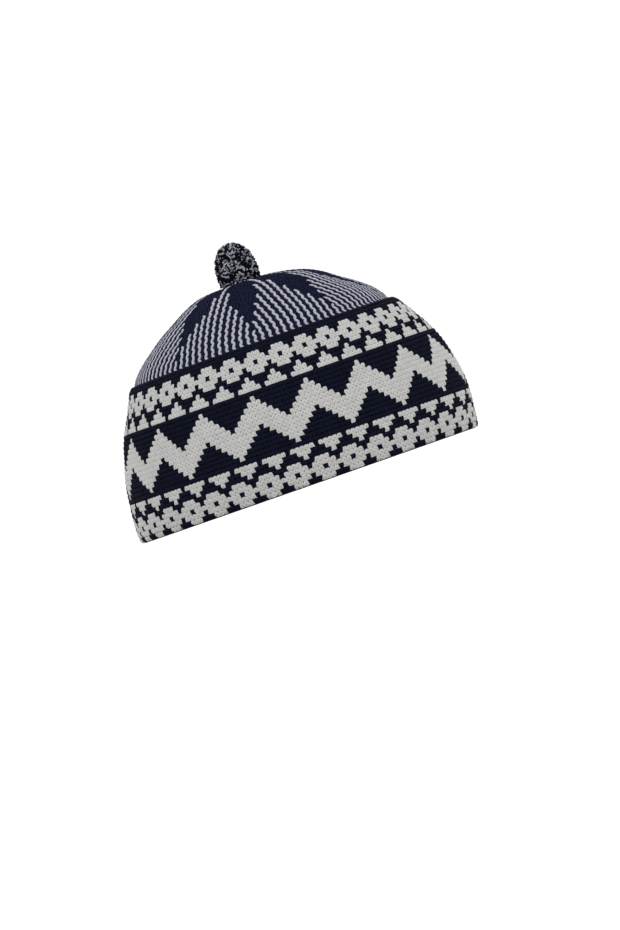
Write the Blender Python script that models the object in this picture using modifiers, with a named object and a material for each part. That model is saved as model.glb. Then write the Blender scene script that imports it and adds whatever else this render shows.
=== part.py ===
"""Knitted prayer cap: a domed crown inside a turned-up patterned cuff, with a small pompom tied on top.

The front of the cap is +X, up is +Z, and the cap stands on its rim at z = 0. All lengths are in metres.
"""

import math
from collections import namedtuple

import bmesh
import bpy
from mathutils import Matrix, Vector

# Cap
CAP_LENGTH = 0.2064
CAP_WIDTH = 0.1670
FOREHEAD_TAPER = 0.04
CLEARANCE = 0.0003

# Crown
CROWN_RISE = 0.0365
CROWN_WALL = 0.0020
GATHERS = 9
GATHER_DEPTH = 0.0009
GATHER_TURN = math.radians(-94.0)

# Cuff
CUFF_HEIGHT = 0.0850
CUFF_WALL = 0.0032
FOLD_HEIGHT = 0.0045
FOLD_ROUNDING = 0.0015
EDGE_ROUNDING = 0.0010

# Pompom and its tie
POMPOM_WIDTH = 0.0245
POMPOM_HEIGHT = 0.0240
LOCK_LENGTH = 0.0016
LOCK_WIDTH = 0.0048
LOCK_TIP_WIDTH = 0.0030
LOCK_GAP = 0.0004
SOCKET_DEPTH = 0.0090
TIE_RADIUS = 0.0015
KNOT_RADIUS = 0.0042
KNOT_HEIGHT = 0.0024

# Mesh fineness
STEPS_ROUND = 63
TURNED_STEPS = 28
LOCK_SIDES = 6
MERGE = 0.00005

# Height is a share of the cuff's height or, in the crown, of the rise above the cuff. Rear and front are
# shares of half the length of the body, which is the crown without the cuff, and side of half its width.
Section = namedtuple("Section", "height rear front side")
CUFF_SECTIONS = (
    Section(0.00, 0.990, 0.974, 0.975),
    Section(0.06, 1.000, 0.985, 0.984),
    Section(0.16, 0.997, 0.992, 0.994),
    Section(0.29, 0.985, 1.000, 1.000),
    Section(0.42, 0.967, 0.991, 1.000),
    Section(0.56, 0.934, 0.967, 0.996),
    Section(0.69, 0.896, 0.928, 0.981),
    Section(0.82, 0.840, 0.869, 0.948),
    Section(0.90, 0.807, 0.826, 0.915),
    Section(1.00, 0.770, 0.770, 0.862),
)
CROWN_SECTIONS = (
    Section(0.06, 0.761, 0.756, 0.840),
    Section(0.14, 0.745, 0.741, 0.813),
    Section(0.29, 0.695, 0.696, 0.754),
    Section(0.45, 0.622, 0.624, 0.678),
    Section(0.61, 0.540, 0.538, 0.588),
    Section(0.76, 0.442, 0.460, 0.489),
    Section(0.87, 0.366, 0.380, 0.400),
    Section(0.94, 0.301, 0.292, 0.314),
    Section(0.985, 0.236, 0.198, 0.226),
    Section(1.00, 0.150, 0.128, 0.148),
)
EYELET_HEIGHT = 0.975

# Outline of the pompom's core, from its top down the outside: shares of its radius and of its height.
CORE_OUTLINE = (
    (0.00, 1.00),
    (0.38, 0.95),
    (0.68, 0.82),
    (0.90, 0.60),
    (1.00, 0.34),
    (1.00, 0.12),
    (0.90, 0.00),
    (0.00, 0.00),
)
# Rows of locks: place along the outline, counted in its corners, and sideways start as a share of a lock.
LOCK_ROWS = ((4.90, 0.0), (4.00, 0.5), (3.15, 0.0), (2.30, 0.5), (1.30, 0.0), (0.00, 0.0))

BODY_HALF_LENGTH = CAP_LENGTH / 2 - CUFF_WALL - CLEARANCE
BODY_HALF_WIDTH = CAP_WIDTH / 2 - CUFF_WALL - CLEARANCE
CAP_TOP = CUFF_HEIGHT + CROWN_RISE
EYELET_RADIUS = TIE_RADIUS + CLEARANCE
CORE_RADIUS = POMPOM_WIDTH / 2 - LOCK_LENGTH
CORE_HEIGHT = POMPOM_HEIGHT - LOCK_LENGTH
POMPOM_BASE = CAP_TOP + CLEARANCE


def body_sections():
    """Every section of the body, from the rim to the eyelet, in metres."""
    found = []
    for rows, low, rise in ((CUFF_SECTIONS, 0.0, CUFF_HEIGHT), (CROWN_SECTIONS, CUFF_HEIGHT, CROWN_RISE)):
        for row in rows:
            found.append(
                Section(
                    low + row.height * rise,
                    row.rear * BODY_HALF_LENGTH,
                    row.front * BODY_HALF_LENGTH,
                    row.side * BODY_HALF_WIDTH,
                )
            )
    found.append(
        Section(CUFF_HEIGHT + EYELET_HEIGHT * CROWN_RISE, EYELET_RADIUS, EYELET_RADIUS, EYELET_RADIUS)
    )
    return found


SECTIONS = body_sections()
CUFF_TOP = len(CUFF_SECTIONS) - 1


def section_at(place):
    """The section at a place counted in rows, on a smooth curve through the rows."""
    first = min(max(int(place), 0), len(SECTIONS) - 2)
    t = place - first
    rows = [SECTIONS[min(max(first + k, 0), len(SECTIONS) - 1)] for k in (-1, 0, 1, 2)]
    values = []
    for a, b, c, d in zip(*rows):
        values.append(b + 0.5 * t * (c - a + t * (2 * a - 5 * b + 4 * c - d + t * (3 * (b - c) + d - a))))
    return Section(*values)


def place_of(height):
    """The place at which the body reaches a height below the cuff's top."""
    low, high = 0.0, float(CUFF_TOP)
    for _ in range(40):
        middle = (low + high) / 2
        if section_at(middle).height < height:
            low = middle
        else:
            high = middle
    return (low + high) / 2


def plain_point(place, angle):
    section = section_at(place)
    reach = section.front if math.cos(angle) > 0 else section.rear
    across = section.side * math.sin(angle) * (1 - FOREHEAD_TAPER * math.cos(angle))
    return Vector((reach * math.cos(angle), across, section.height))


def outward(place, angle):
    """The direction straight out of the body's surface."""
    step = 0.02
    along = plain_point(place + step, angle) - plain_point(place - step, angle)
    around = plain_point(place, angle + step) - plain_point(place, angle - step)
    return around.cross(along).normalized()


def gather_at(place, angle):
    """How far the crown is drawn in along the lines where its wales meet."""
    share = min(max((place - CUFF_TOP) / len(CROWN_SECTIONS), 0.0), 1.0)
    fade = math.sin(math.pi * min(share * 1.1, 1.0)) ** 2
    return GATHER_DEPTH * fade * (0.5 + 0.5 * math.cos(GATHERS * (angle - GATHER_TURN)))


def skin_ring(place, out=0.0, height=None):
    """One ring of points round the body, at a distance out of its surface, or at a given height."""
    ring = []
    for step in range(STEPS_ROUND):
        angle = 2 * math.pi * step / STEPS_ROUND
        point = plain_point(place, angle) + outward(place, angle) * (out - gather_at(place, angle))
        if height is not None:
            point.z = height
        ring.append(point)
    return ring


def loft(name, rings, closed):
    """A skin through rings of equally many points, each ring joined to the next and, if closed, to the first."""
    mesh = bpy.data.meshes.new(name)
    bm = bmesh.new()
    rows = [[bm.verts.new(point) for point in ring] for ring in rings]
    pairs = list(zip(rows, rows[1:]))
    if closed:
        pairs.append((rows[-1], rows[0]))
    for lower, upper in pairs:
        for here in range(len(lower)):
            there = (here + 1) % len(lower)
            bm.faces.new((lower[here], lower[there], upper[there], upper[here]))
    bm.to_mesh(mesh)
    bm.free()
    return mesh


def collection(name):
    made = bpy.data.collections.new(name)
    bpy.context.scene.collection.children.link(made)
    return made


def material(name, colour, roughness):
    made = bpy.data.materials.new(name)
    made.use_nodes = True
    shader = made.node_tree.nodes["Principled BSDF"]
    shader.inputs["Base Color"].default_value = (*colour, 1.0)
    shader.inputs["Roughness"].default_value = roughness
    shader.inputs["Metallic"].default_value = 0.0
    return made


def add_part(name, mesh, group, finish):
    piece = bpy.data.objects.new(name, mesh)
    group.objects.link(piece)
    mesh.materials.append(finish)
    mesh.shade_smooth()
    mesh.set_sharp_from_angle(angle=math.radians(50))
    return piece


def add_cutter(name, mesh, group):
    piece = bpy.data.objects.new(name, mesh)
    group.objects.link(piece)
    piece.hide_render = True
    piece.display_type = "WIRE"
    return piece


def boolean(piece, cutter, operation):
    modifier = piece.modifiers.new(cutter.name, "BOOLEAN")
    modifier.object = cutter
    modifier.operation = operation
    modifier.solver = "EXACT"
    modifier.use_self = operation == "UNION"


def turned(name, outline):
    """A mesh holding the outline of a turned piece, for a Screw modifier about the Z axis."""
    mesh = bpy.data.meshes.new(name)
    bm = bmesh.new()
    points = [bm.verts.new((radius, 0.0, height)) for radius, height in outline]
    for upper, lower in zip(points, points[1:]):
        bm.edges.new((upper, lower))
    bm.to_mesh(mesh)
    bm.free()
    return mesh


def add_screw(piece):
    screw = piece.modifiers.new("turn", "SCREW")
    screw.axis = "Z"
    screw.angle = 2 * math.pi
    screw.steps = TURNED_STEPS
    screw.render_steps = TURNED_STEPS
    screw.use_merge_vertices = True
    screw.merge_threshold = MERGE
    screw.use_smooth_shade = True


def make_crown(group):
    """The body of the cap: walls that stand in the cuff, and the dome, open for the head and at the eyelet."""
    lowest = place_of(FOLD_HEIGHT + CLEARANCE)
    places = [lowest] + [place for place in range(2, len(SECTIONS))]
    mesh = loft("crown", [skin_ring(place) for place in places], closed=False)
    crown = add_part("crown", mesh, group, material("crown_knit", (0.018, 0.022, 0.055), 0.9))
    wall = crown.modifiers.new("wall", "SOLIDIFY")
    wall.thickness = CROWN_WALL
    wall.offset = -1.0
    wall.use_even_offset = True
    return crown


def make_cuff(group):
    """The turned-up cuff: a wall outside the body, with the fold under the body's lower edge as its foot."""
    outer = CLEARANCE + CUFF_WALL
    inner = -CROWN_WALL
    rim = place_of(0.0)
    rounded = place_of(FOLD_ROUNDING)
    ledge = place_of(FOLD_HEIGHT)
    shoulder = CUFF_TOP - EDGE_ROUNDING / (CUFF_HEIGHT * (1 - CUFF_SECTIONS[-2].height))
    upright = list(range(2, CUFF_TOP))
    rings = [
        skin_ring(rim, inner + FOLD_ROUNDING, height=0.0),
        skin_ring(rim, outer - FOLD_ROUNDING, height=0.0),
        skin_ring(rounded, outer - FOLD_ROUNDING * (1 - math.sqrt(0.5)), FOLD_ROUNDING * (1 - math.sqrt(0.5))),
        skin_ring(rounded, outer, height=FOLD_ROUNDING),
        skin_ring(ledge, outer, height=FOLD_HEIGHT),
    ]
    rings += [skin_ring(place, outer) for place in upright]
    rings += [
        skin_ring(shoulder, outer),
        skin_ring(CUFF_TOP, outer - EDGE_ROUNDING),
        skin_ring(CUFF_TOP, CLEARANCE + EDGE_ROUNDING),
        skin_ring(shoulder, CLEARANCE),
    ]
    rings += [skin_ring(place, CLEARANCE) for place in reversed(upright)]
    rings += [
        skin_ring(ledge, CLEARANCE, height=FOLD_HEIGHT),
        skin_ring(ledge, inner, height=FOLD_HEIGHT),
        skin_ring(rounded, inner, height=FOLD_ROUNDING),
    ]
    mesh = loft("cuff_band", rings, closed=True)
    return add_part("cuff_band", mesh, group, material("cuff_knit", (0.020, 0.024, 0.050), 0.9))


def core_point(place):
    """A point on the core's outline, as radius and height, and the direction straight out of it."""
    first = min(int(place), len(CORE_OUTLINE) - 2)
    (r0, h0), (r1, h1) = CORE_OUTLINE[first], CORE_OUTLINE[first + 1]
    t = place - first
    radius = (r0 + (r1 - r0) * t) * CORE_RADIUS
    height = (h0 + (h1 - h0) * t) * CORE_HEIGHT
    run = Vector(((r1 - r0) * CORE_RADIUS, (h1 - h0) * CORE_HEIGHT))
    away = Vector((-run.y, run.x)).normalized()
    return radius, height, away


def locks_mesh():
    """Every lock of yarn, each a blunt cone that stands half out of the core."""
    mesh = bpy.data.meshes.new("pompom_locks")
    bm = bmesh.new()
    for place, start in LOCK_ROWS:
        radius, height, away = core_point(place)
        count = max(int(2 * math.pi * radius / (LOCK_WIDTH + LOCK_GAP)), 1)
        if place == 0:
            away = Vector((0.0, 1.0))
        for index in range(count):
            angle = 2 * math.pi * (index + start) / count
            flat = Vector((math.cos(angle), math.sin(angle), 0.0))
            up = Vector((0.0, 0.0, 1.0))
            direction = flat * away.x + up * away.y
            root = flat * radius + up * (POMPOM_BASE + height)
            turn = direction.to_track_quat("Z", "Y").to_matrix().to_4x4()
            bmesh.ops.create_cone(
                bm,
                cap_ends=True,
                segments=LOCK_SIDES,
                radius1=LOCK_WIDTH / 2,
                radius2=LOCK_TIP_WIDTH / 2,
                depth=2 * LOCK_LENGTH,
                matrix=Matrix.Translation(root) @ turn,
            )
    bm.to_mesh(mesh)
    bm.free()
    return mesh


def make_pompom(group, cutters):
    """The pompom: a turned core, its locks joined to it, and the socket for its tie."""
    outline = [(share * CORE_RADIUS, POMPOM_BASE + rise * CORE_HEIGHT) for share, rise in CORE_OUTLINE]
    pompom = add_part(
        "pompom", turned("pompom", outline), group, material("pompom_yarn", (0.10, 0.11, 0.14), 0.95)
    )
    add_screw(pompom)
    boolean(pompom, add_cutter("pompom_locks", locks_mesh(), cutters), "UNION")
    drill = bpy.data.meshes.new("socket_drill")
    bm = bmesh.new()
    bmesh.ops.create_cone(
        bm,
        cap_ends=True,
        segments=TURNED_STEPS,
        radius1=EYELET_RADIUS,
        radius2=EYELET_RADIUS,
        depth=2 * SOCKET_DEPTH,
        matrix=Matrix.Translation((0.0, 0.0, POMPOM_BASE)),
    )
    bm.to_mesh(drill)
    bm.free()
    boolean(pompom, add_cutter("socket_drill", drill, cutters), "DIFFERENCE")
    return pompom


def make_tie(group):
    """The tie: a stem up through the eyelet into the pompom, and a knot under the crown."""
    top = POMPOM_BASE + SOCKET_DEPTH - CLEARANCE
    knot_top = SECTIONS[-1].height - CROWN_WALL - CLEARANCE
    knot_low = knot_top - KNOT_HEIGHT
    round_off = KNOT_HEIGHT / 3
    outline = (
        (0.0, top),
        (TIE_RADIUS - CLEARANCE, top),
        (TIE_RADIUS, top - CLEARANCE),
        (TIE_RADIUS, knot_top),
        (KNOT_RADIUS - round_off, knot_top),
        (KNOT_RADIUS, knot_top - round_off),
        (KNOT_RADIUS, knot_low + round_off),
        (KNOT_RADIUS - round_off, knot_low),
        (0.0, knot_low),
    )
    tie = add_part(
        "pompom_tie", turned("pompom_tie", outline), group, material("tie_yarn", (0.02, 0.024, 0.05), 0.95)
    )
    add_screw(tie)
    return tie


def main():
    for old in list(bpy.data.objects):
        bpy.data.objects.remove(old, do_unlink=True)
    cap = collection("prayer_cap")
    cutters = collection("cutters")
    make_crown(cap)
    make_cuff(cap)
    make_pompom(cap, cutters)
    make_tie(cap)


main()
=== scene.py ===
import math
from collections import namedtuple

import bpy
import numpy as np
from bpy.props import FloatProperty, FloatVectorProperty, IntProperty, PointerProperty
from mathutils import Matrix, Vector


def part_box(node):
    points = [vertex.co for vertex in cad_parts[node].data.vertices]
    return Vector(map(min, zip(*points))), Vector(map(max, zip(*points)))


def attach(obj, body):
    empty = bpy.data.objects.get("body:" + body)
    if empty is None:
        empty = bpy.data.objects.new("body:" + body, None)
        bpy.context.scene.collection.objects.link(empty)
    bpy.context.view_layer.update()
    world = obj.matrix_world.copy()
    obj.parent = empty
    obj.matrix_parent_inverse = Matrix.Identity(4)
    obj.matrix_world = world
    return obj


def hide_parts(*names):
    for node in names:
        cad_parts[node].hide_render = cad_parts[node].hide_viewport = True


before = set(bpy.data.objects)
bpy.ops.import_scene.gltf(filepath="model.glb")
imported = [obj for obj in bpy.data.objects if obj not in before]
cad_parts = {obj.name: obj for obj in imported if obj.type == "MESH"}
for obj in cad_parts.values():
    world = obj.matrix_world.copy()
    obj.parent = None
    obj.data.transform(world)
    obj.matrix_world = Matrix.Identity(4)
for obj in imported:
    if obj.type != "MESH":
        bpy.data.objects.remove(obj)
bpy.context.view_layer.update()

bl_info = {
    "name": "Knitted prayer cap",
    "version": (1, 0, 0),
    "blender": (4, 5, 0),
    "location": "3D View > Sidebar > Cap",
    "description": "Knits a two-colour prayer cap stitch by stitch, with its marled pompom, and lights it",
    "category": "Add Mesh",
}

BODY = "root"

# The square map that the pieces are laid out on. A strand of yarn takes one of its cells, less a margin,
# and a loft's flat caps take a strip along its lower and upper edge.
BAKE_MAP = "OFBake"
CELLS = 8
CELL_MARGIN = 0.03
CAP_STRIP = 0.04

# How finely the pieces are divided.
STRAND_SIDES = 6
STRAND_RINGS = 4
GROUND_STEPS = 216
CUFF_GROUND_RINGS = 40
CROWN_GROUND_RINGS = (20, 44)
CORE_STEPS = 48
FLOOR_STEPS = 96
BEND_STEPS = 12

# How many points the body is sampled at, to measure along its height, its side and a ring round it.
HEIGHT_SAMPLES = 901
SIDE_SAMPLES = 2001
RING_SAMPLES = 1441

# The body of the cap, which the stitches follow. Lengths are in metres, from the frame where it has them.
CUFF_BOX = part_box("cuff_band")
CROWN_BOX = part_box("crown")
POMPOM_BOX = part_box("pompom")
CLEARANCE = 0.0003
CUFF_WALL = 0.0032
CROWN_WALL = 0.0020
CUFF_HEIGHT = 0.0850
CROWN_RISE = CROWN_BOX[1].z - CUFF_HEIGHT
HALF_LENGTH = CUFF_BOX[1].x - CUFF_WALL - CLEARANCE
HALF_WIDTH = CUFF_BOX[1].y - CUFF_WALL - CLEARANCE
FOREHEAD_TAPER = 0.04
FOLD_HEIGHT = 0.0045
FOLD_ROUNDING = 0.0015
EDGE_ROUNDING = 0.0010
SHOULDER_SETBACK = 0.0016

# The star, and how the crown is drawn in along its middle lines, which fades out before the eyelet.
STAR_POINTS = 9
STAR_TURN = math.radians(-92.0)
GATHER_DEPTH = 0.0009
GATHER_HASTE = 1.1
GATHER_TURN = math.radians(-94.0)

# Height is a share of the cuff's height or, in the crown, of the rise above the cuff. Rear and front are
# shares of half the body's length, and side of half its width.
Section = namedtuple("Section", "height rear front side")
CUFF_SECTIONS = (
    Section(0.00, 0.990, 0.974, 0.975),
    Section(0.06, 1.000, 0.985, 0.984),
    Section(0.16, 0.997, 0.992, 0.994),
    Section(0.29, 0.985, 1.000, 1.000),
    Section(0.42, 0.967, 0.991, 1.000),
    Section(0.56, 0.934, 0.967, 0.996),
    Section(0.69, 0.896, 0.928, 0.981),
    Section(0.82, 0.840, 0.869, 0.948),
    Section(0.90, 0.807, 0.826, 0.915),
    Section(1.00, 0.770, 0.770, 0.862),
)
CROWN_SECTIONS = (
    Section(0.06, 0.761, 0.756, 0.840),
    Section(0.14, 0.745, 0.741, 0.813),
    Section(0.29, 0.695, 0.696, 0.754),
    Section(0.45, 0.622, 0.624, 0.678),
    Section(0.61, 0.540, 0.538, 0.588),
    Section(0.76, 0.442, 0.460, 0.489),
    Section(0.87, 0.366, 0.380, 0.400),
    Section(0.94, 0.301, 0.292, 0.314),
    Section(0.985, 0.236, 0.198, 0.226),
    Section(1.00, 0.150, 0.128, 0.148),
)
EYELET = Section(0.975, 0.018, 0.018, 0.0225)
CUFF_TOP = len(CUFF_SECTIONS) - 1

# Counted in rows of the tables: where the cuff's ground begins to lean in and where it bends over its top
# edge, both down from that edge, and a step that is small beside a stitch.
SHOULDER_LEAN = 0.40
SHOULDER_BEND = 0.12
SMALL_STEP = 0.02

# The cuff's chart from the rim up: # is off-white and . is navy. Each row repeats round the cuff.
FLOWER = ("..###.", ".#####", "###.##", ".#####", "..###.")
TRIANGLE = ("###.##", "##...#", "#.....")
ZIGZAG_CLIMB = (0, 1, 2, 3, 4, 5, 6, 5, 4, 3, 2, 1)
ZIGZAG_STROKE = 6
ZIGZAG = tuple(
    "".join("#" if 0 <= row - climb < ZIGZAG_STROKE else "." for climb in ZIGZAG_CLIMB)
    for row in range(ZIGZAG_STROKE + max(ZIGZAG_CLIMB))
)
PLAIN = (".",)
CUFF_CHART = (
    PLAIN + FLOWER + TRIANGLE[::-1] + PLAIN + ZIGZAG + PLAIN + TRIANGLE + FLOWER + PLAIN + PLAIN + PLAIN
)
Band = namedtuple("Band", "name first last")
CUFF_BANDS = (Band("lower", 0, 9), Band("zigzag", 10, 21), Band("upper", 22, 33))

# Rounds that roll over the cuff's edges: how far each is turned in, how far in and up it lies from the
# upright round beside it, and its height as a share of that round's.
Roll = namedtuple("Roll", "turn sink rise height_share")
UPRIGHT = Roll(0.0, 0.0, 0.0, 1.0)
CUFF_ROLLS = {
    0: Roll(math.radians(66.0), 0.0008, -0.00105, 0.6),
    31: Roll(math.radians(-8.0), 0.0001, 0.0, 1.0),
    32: Roll(math.radians(-30.0), 0.0007, 0.0, 1.0),
    33: Roll(math.radians(-78.0), 0.0021, 0.00145, 0.6),
}

# How far the wales have slipped round towards the front, in wales, at a share of the cuff's height.
Slip = namedtuple("Slip", "height wales")
CUFF_SLIPS = (Slip(0.00, 1.15), Slip(0.11, 0.95), Slip(0.32, 0.40), Slip(0.66, 0.12), Slip(1.00, 0.12))

# Where the star's edge lies in a wedge of the crown: half the wedge's width and the edge's distance from
# the middle of the wedge, both counted in stripes.
Edge = namedtuple("Edge", "half_wedge distance")
STAR_EDGE = (
    Edge(0.0, 0.30),
    Edge(1.5, 0.50),
    Edge(2.8, 1.02),
    Edge(3.9, 2.02),
    Edge(4.35, 3.02),
    Edge(4.87, 4.02),
    Edge(5.36, 5.02),
    Edge(5.85, 6.02),
    Edge(9.0, 9.20),
)
STRIPES_PER_WEDGE = 12

# Where the crown's stitches begin above the cuff and end below the eyelet, and the step to the place that
# a stitch points at, all counted in rows of the table. A half stripe is knitted if all but this much fits.
CROWN_START = 0.06
CROWN_END = 0.35
LOOK_AHEAD = 0.12
HALF_STRIPE_SLACK = 0.25

# Outline of the pompom from its top down: shares of its radius and of its height.
Corner = namedtuple("Corner", "radius height")
POMPOM_OUTLINE = (
    Corner(0.01, 1.00),
    Corner(0.20, 0.985),
    Corner(0.42, 0.925),
    Corner(0.65, 0.82),
    Corner(0.84, 0.68),
    Corner(0.94, 0.52),
    Corner(1.00, 0.34),
    Corner(1.00, 0.18),
    Corner(0.92, 0.05),
    Corner(0.60, 0.00),
    Corner(0.01, 0.00),
)

# Looks of a yarn: how much its fibres differ, its roughness, its sheen, and how unlike its strands are.
Yarn = namedtuple("Yarn", "flecks roughness sheen unlikeness")
WHITE_YARN = Yarn(0.16, 0.86, 0.15, 0.35)
NAVY_YARN = Yarn(0.45, 0.86, 0.0, 0.35)
WHITE_ENDS = Yarn(0.55, 0.88, 0.15, 1.1)
NAVY_ENDS = Yarn(0.45, 0.88, 0.0, 0.35)

# The twist of a yarn: its plies, their turns along a strand, and how sharp the groove between them is. The
# groove is painted darker in the colour as well as sunk in the bump: painted shade.
PLIES = 2.0
PLY_TURNS = 3.0
GROOVE_SHARPNESS = 0.6

# Its fibres: their turns along a strand, in radians, how fine they are round it and along it, and how far
# apart in the noise the strands of two shades lie.
FIBRE_TURNS = 6.0
FIBRES_ROUND = 3.0
FIBRES_ALONG = 5.0
SHADE_GAP = 40.0

# Bumps in the back of the knit, round a piece and along its profile, and one turn of the tie's yarn. The
# hollows between them are painted darker in the colour: painted shade.
PURL_WALES = 216
CUFF_PURL_ROWS = 70
CROWN_PURL_ROWS = 130
CORE_PURLS = (40, 20)
TIE_TURN = 0.0011
WOOL_GLOSS = 0.03

# Seeds of the stitches. The pompom's two pieces share one, so that they split its ends between them.
CUFF_SEED = 21
CROWN_SEED = 201
POMPOM_SEED = 307
SEED_STEP = 10

Lamp = namedtuple("Lamp", "name place power")
LAMPS = (
    Lamp("key_light", (1.3, -1.6, 1.3), 8.0),
    Lamp("fill_light", (-1.4, -1.4, 1.2), 3.0),
    Lamp("back_light", (0.0, 1.9, 1.3), 4.5),
)
LAMP_WIDTH = 1.2
LAMPS_AIM = (0.0, 0.0, 0.05)
INNER_FLOOR = (0.5, 0.05)


def body_sections():
    """Every section of the body from the rim to the eyelet, in metres: height, rear, front and side."""
    parts = ((CUFF_SECTIONS, 0.0, CUFF_HEIGHT), ((*CROWN_SECTIONS, EYELET), CUFF_HEIGHT, CROWN_RISE))
    return np.array([
        (low + row.height * rise, row.rear * HALF_LENGTH, row.front * HALF_LENGTH, row.side * HALF_WIDTH)
        for rows, low, rise in parts
        for row in rows
    ])


SECTIONS = body_sections()


def section_at(place):
    """Sections at places counted in rows of the table, on a smooth curve through them."""
    first = np.clip(np.floor(place).astype(int), 0, len(SECTIONS) - 2)
    t = (place - first)[..., None]
    a, b, c, d = (SECTIONS[np.clip(first + step, 0, len(SECTIONS) - 1)] for step in (-1, 0, 1, 2))
    return b + 0.5 * t * (c - a + t * (2 * a - 5 * b + 4 * c - d + t * (3 * (b - c) + d - a)))


def plain_point(place, angle):
    """Points of the body's plain surface at places and angles."""
    height, rear, front, side = np.moveaxis(section_at(place), -1, 0)
    reach = np.where(np.cos(angle) > 0, front, rear)
    across = side * np.sin(angle) * (1 - FOREHEAD_TAPER * np.cos(angle))
    return np.stack((reach * np.cos(angle), across, height), axis=-1)


def unit(vectors):
    return vectors / np.linalg.norm(vectors, axis=-1, keepdims=True)


def outward(place, angle):
    """Directions straight out of the body's surface."""
    along = plain_point(place + SMALL_STEP, angle) - plain_point(place - SMALL_STEP, angle)
    around = plain_point(place, angle + SMALL_STEP) - plain_point(place, angle - SMALL_STEP)
    return unit(np.cross(around, along))


def gather_at(place, angle):
    """How far the crown is drawn in."""
    share = np.clip((place - CUFF_TOP) / len(CROWN_SECTIONS), 0.0, 1.0)
    fade = np.sin(math.pi * np.minimum(share * GATHER_HASTE, 1.0)) ** 2
    return GATHER_DEPTH * fade * (0.5 + 0.5 * np.cos(STAR_POINTS * (angle - GATHER_TURN)))


def skin(place, angle, out=0.0):
    """Points at a distance out of the body's surface, for places and angles of one shape."""
    place, angle = np.broadcast_arrays(np.asarray(place, float), np.asarray(angle, float))
    lift = (out - gather_at(place, angle))[..., None]
    return plain_point(place, angle) + outward(place, angle) * lift


def place_at_height(height):
    """The place in the cuff at which the body reaches a height."""
    places = np.linspace(0.0, CUFF_TOP, HEIGHT_SAMPLES)
    return np.interp(height, section_at(places)[:, 0], places)


def run_along(points):
    """The length from the first of a row of points to each of them."""
    return np.concatenate(([0.0], np.cumsum(np.linalg.norm(np.diff(points, axis=0), axis=1))))


def place_along(first, last, lengths):
    """Places at lengths along the body's side, measured up from the first place, and the whole length."""
    places = np.linspace(first, last, SIDE_SAMPLES)
    run = run_along(skin(places, np.full_like(places, -math.pi / 2)))
    return np.interp(lengths, run, places), run[-1]


class Ring:
    """One ring round the body, on which places are measured by length round it."""

    def __init__(self, place, out, start=-math.pi / 2):
        self.angles = np.linspace(start, start + 2 * math.pi, RING_SAMPLES)
        self.run = run_along(skin(place, self.angles, out))
        self.length = self.run[-1]

    def angle(self, length):
        return np.interp(np.mod(length, self.length), self.run, self.angles)

    def length_at(self, angle):
        return np.interp(angle, self.angles, self.run)


class Wire:
    """A socket that takes part in Python arithmetic by adding Math nodes to its tree."""

    def __init__(self, tree, socket):
        self.tree = tree
        self.socket = socket

    def maths(self, operation, *others):
        inputs = dict(enumerate((self, *others)))
        return self.tree.node("ShaderNodeMath", {"operation": operation}, inputs)["Value"]

    def __add__(self, other):
        return self.maths("ADD", other)

    __radd__ = __add__

    def __mul__(self, other):
        return self.maths("MULTIPLY", other)

    __rmul__ = __mul__

    def __sub__(self, other):
        return self.maths("SUBTRACT", other)

    def __rsub__(self, other):
        return self * -1.0 + other

    def __neg__(self):
        return self * -1.0

    def __pow__(self, other):
        return self.maths("POWER", other)

    def sine(self):
        return self.maths("SINE")

    def cosine(self):
        return self.maths("COSINE")


class Made:
    """A node that has been added; its outputs are read by name."""

    def __init__(self, tree, node):
        self.tree = tree
        self.node = node

    def __getitem__(self, name):
        return Wire(self.tree, next(s for s in self.node.outputs if s.name == name and s.enabled))


class Tree:
    """A node tree being built, for a material or for Geometry Nodes."""

    def __init__(self, tree):
        self.tree = tree

    def node(self, kind, settings=None, inputs=None):
        """Adds one node: its settings, then a value or a wire for each socket, by name or number."""
        made = self.tree.nodes.new(kind)
        for name, value in (settings or {}).items():
            setattr(made, name, value)
        for name, value in (inputs or {}).items():
            if isinstance(name, int):
                socket = made.inputs[name]
            else:
                socket = next(s for s in made.inputs if s.name == name and s.enabled)
            for wire in value if isinstance(value, list) else [value]:
                if isinstance(wire, Wire):
                    self.tree.links.new(wire.socket, socket)
                else:
                    socket.default_value = wire
        return Made(self, made)


def combined(tree, **parts):
    return tree.node("ShaderNodeCombineXYZ", None, parts)["Vector"]


def separated(tree, vector):
    return tree.node("ShaderNodeSeparateXYZ", None, {"Vector": vector})


def vector_maths(tree, operation, *vectors, **others):
    inputs = {**dict(enumerate(vectors)), **others}
    return tree.node("ShaderNodeVectorMath", {"operation": operation}, inputs)["Vector"]


def noise(tree, place, scale, detail=2.0, roughness=0.5):
    """Even noise in space."""
    inputs = {"Vector": place, "Scale": scale, "Detail": detail, "Roughness": roughness}
    return tree.node("ShaderNodeTexNoise", {"noise_dimensions": "3D"}, inputs)["Fac"]


def random_value(tree, kind, low, high, seed):
    """A random value for each point."""
    inputs = {"Min": low, "Max": high, "Seed": seed}
    return tree.node("FunctionNodeRandomValue", {"data_type": kind}, inputs)["Value"]


def carried(tree, name):
    """The vector that the points or corners carry under a name."""
    settings = {"data_type": "FLOAT_VECTOR"}
    return tree.node("GeometryNodeInputNamedAttribute", settings, {"Name": name})["Attribute"]


def stored(tree, shape, name, value, kind, domain):
    """The shape with a value stored on it under a name."""
    settings = {"data_type": kind, "domain": domain}
    inputs = {"Geometry": shape, "Name": name, "Value": value}
    return tree.node("GeometryNodeStoreNamedAttribute", settings, inputs)["Geometry"]


def rotation_by(tree, angles):
    return tree.node("FunctionNodeEulerToRotation", None, {"Euler": angles})["Rotation"]


def rotated(tree, rotation, turn):
    """A rotation with another one made first, in its own axes."""
    inputs = {"Rotation": rotation, "Rotate By": turn}
    return tree.node("FunctionNodeRotateRotation", {"rotation_space": "LOCAL"}, inputs)["Rotation"]


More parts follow.
